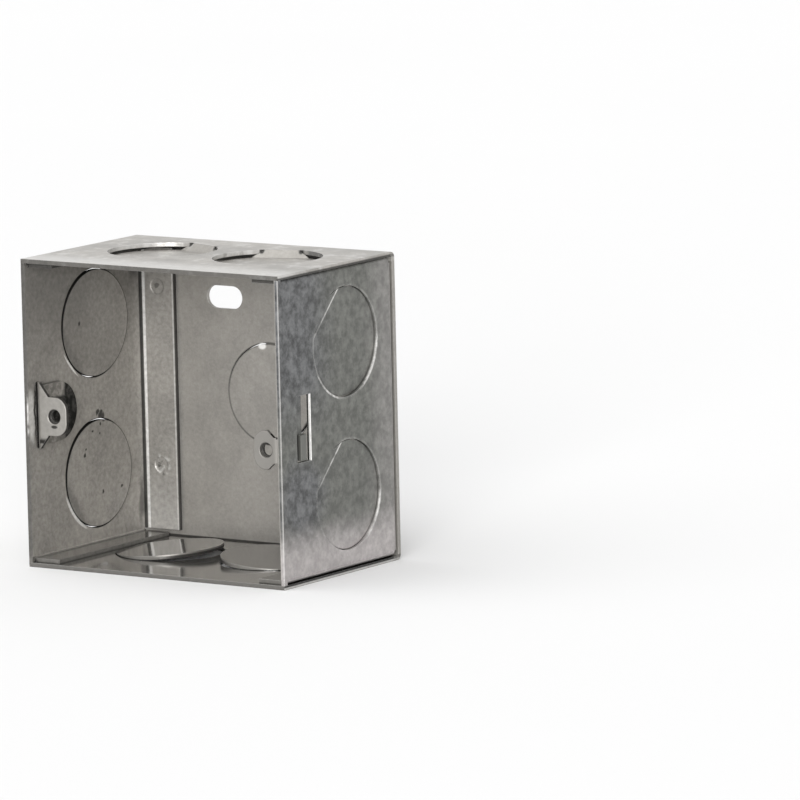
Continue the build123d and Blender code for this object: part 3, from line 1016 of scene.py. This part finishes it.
class JUNCTIONBOX_OT_stage(bpy.types.Operator):
    """Set up the camera, the lamps, the room and the floor"""

    bl_idname = "junction_box.stage"
    bl_label = "Stage"

    # Half the width of the floor in metres, and how dark its speckle is beside its own colour
    FLOOR_REACH = 6.0
    SPECKLE_TONE = 0.985

    def execute(self, context):
        scene = context.scene
        stage = scene.junction_box_stage
        scene.view_settings.view_transform = "Standard"
        self.camera(scene, stage)
        self.room(scene, stage)
        self.floor(scene, stage)
        far_lamp("key_lamp", stage.key_strength, azimuth=28, elevation=12, spread=30)
        far_lamp("top_lamp", stage.top_strength, azimuth=-30, elevation=65, spread=80)
        return {"FINISHED"}

    def camera(self, scene, stage):
        """Camera on its line of sight to the aim point."""
        lens = bpy.data.cameras.new("camera")
        lens.sensor_width = 36.0
        lens.lens = stage.lens
        lens.clip_start = 0.01
        lens.clip_end = 100.0
        camera = bpy.data.objects.new("camera", lens)
        scene.collection.objects.link(camera)
        back = compass(stage.azimuth, stage.elevation)
        right = Vector((math.cos(stage.azimuth), math.sin(stage.azimuth), 0.0))
        up = back.cross(right)
        turn = Matrix.Rotation(stage.roll, 3, back)
        axes = Matrix((turn @ right, turn @ up, back)).transposed().to_4x4()
        camera.matrix_world = Matrix.Translation(Vector(stage.aim) + back * stage.distance) @ axes
        scene.camera = camera

    def room(self, scene, stage):
        """Room that looks white to the camera and in reflections, and lights the box more softly."""
        world = bpy.data.worlds.new("room")
        world.use_nodes = True
        scene.world = world
        nodes, links = world.node_tree.nodes, world.node_tree.links
        background = nodes["Background"]
        background.inputs["Color"].default_value = (1.0, 1.0, 1.0, 1.0)
        path = nodes.new("ShaderNodeLightPath")
        seen = path.outputs["Is Camera Ray"]
        for ray in ("Is Glossy Ray", "Is Transmission Ray"):
            larger = nodes.new("ShaderNodeMath")
            larger.operation = "MAXIMUM"
            links.new(seen, larger.inputs[0])
            links.new(path.outputs[ray], larger.inputs[1])
            seen = larger.outputs[0]
        strength = nodes.new("ShaderNodeMapRange")
        strength.inputs["To Min"].default_value = stage.ambient
        strength.inputs["To Max"].default_value = 1.0
        links.new(seen, strength.inputs["Value"])
        links.new(strength.outputs["Result"], background.inputs["Strength"])

    def floor(self, scene, stage):
        """Wide pale floor under the box."""
        shape = bmesh.new()
        bmesh.ops.create_grid(shape, x_segments=8, y_segments=8, size=self.FLOOR_REACH)
        mesh = bpy.data.meshes.new("floor")
        shape.to_mesh(mesh)
        shape.free()
        floor = bpy.data.objects.new("floor", mesh)
        floor.location.z = CAD_LOW.z
        scene.collection.objects.link(floor)
        shader = Shader("pale_floor")
        speckle = shader.add("ShaderNodeTexNoise", {"Scale": 60.0, "Detail": 4.0}).outputs["Fac"]
        colour = shader.mix(speckle, solid(toned(stage.floor, self.SPECKLE_TONE)), solid(stage.floor))
        shader.feed(shader.surface.inputs["Base Color"], colour)
        shader.feed(shader.surface.inputs["Roughness"], 0.9)
        shader.feed(shader.surface.inputs["Specular IOR Level"], 0.1)
        mesh.materials.append(shader.material)


OPERATORS = (
    JUNCTIONBOX_OT_wrapper,
    JUNCTIONBOX_OT_sides,
    JUNCTIONBOX_OT_lugs,
    JUNCTIONBOX_OT_threads,
    JUNCTIONBOX_OT_stage,
)


class JUNCTIONBOX_PT_sidebar(bpy.types.Panel):
    """Lists the steps that dress the junction box"""

    bl_idname = "JUNCTIONBOX_PT_sidebar"
    bl_label = "Junction Box"
    bl_space_type = "VIEW_3D"
    bl_region_type = "UI"
    bl_category = "Junction Box"

    def draw(self, context):
        for operator in OPERATORS:
            self.layout.operator(operator.bl_idname)
        for group in ("junction_box_finish", "junction_box_thread", "junction_box_stage"):
            settings = getattr(context.scene, group)
            column = self.layout.column(align=True)
            for name in settings.__annotations__:
                column.prop(settings, name)


CLASSES = (
    JunctionBoxFinish,
    JunctionBoxThread,
    JunctionBoxStage,
    *OPERATORS,
    JUNCTIONBOX_PT_sidebar,
)


def register():
    for part in CLASSES:
        bpy.utils.register_class(part)
    bpy.types.Scene.junction_box_finish = PointerProperty(type=JunctionBoxFinish)
    bpy.types.Scene.junction_box_thread = PointerProperty(type=JunctionBoxThread)
    bpy.types.Scene.junction_box_stage = PointerProperty(type=JunctionBoxStage)


def unregister():
    del bpy.types.Scene.junction_box_stage
    del bpy.types.Scene.junction_box_thread
    del bpy.types.Scene.junction_box_finish
    for part in reversed(CLASSES):
        bpy.utils.unregister_class(part)


def main():
    register()
    bpy.ops.junction_box.wrapper()
    bpy.ops.junction_box.sides()
    bpy.ops.junction_box.lugs()
    bpy.ops.junction_box.threads()
    bpy.ops.junction_box.stage()


if __name__ == "__main__":
    main()
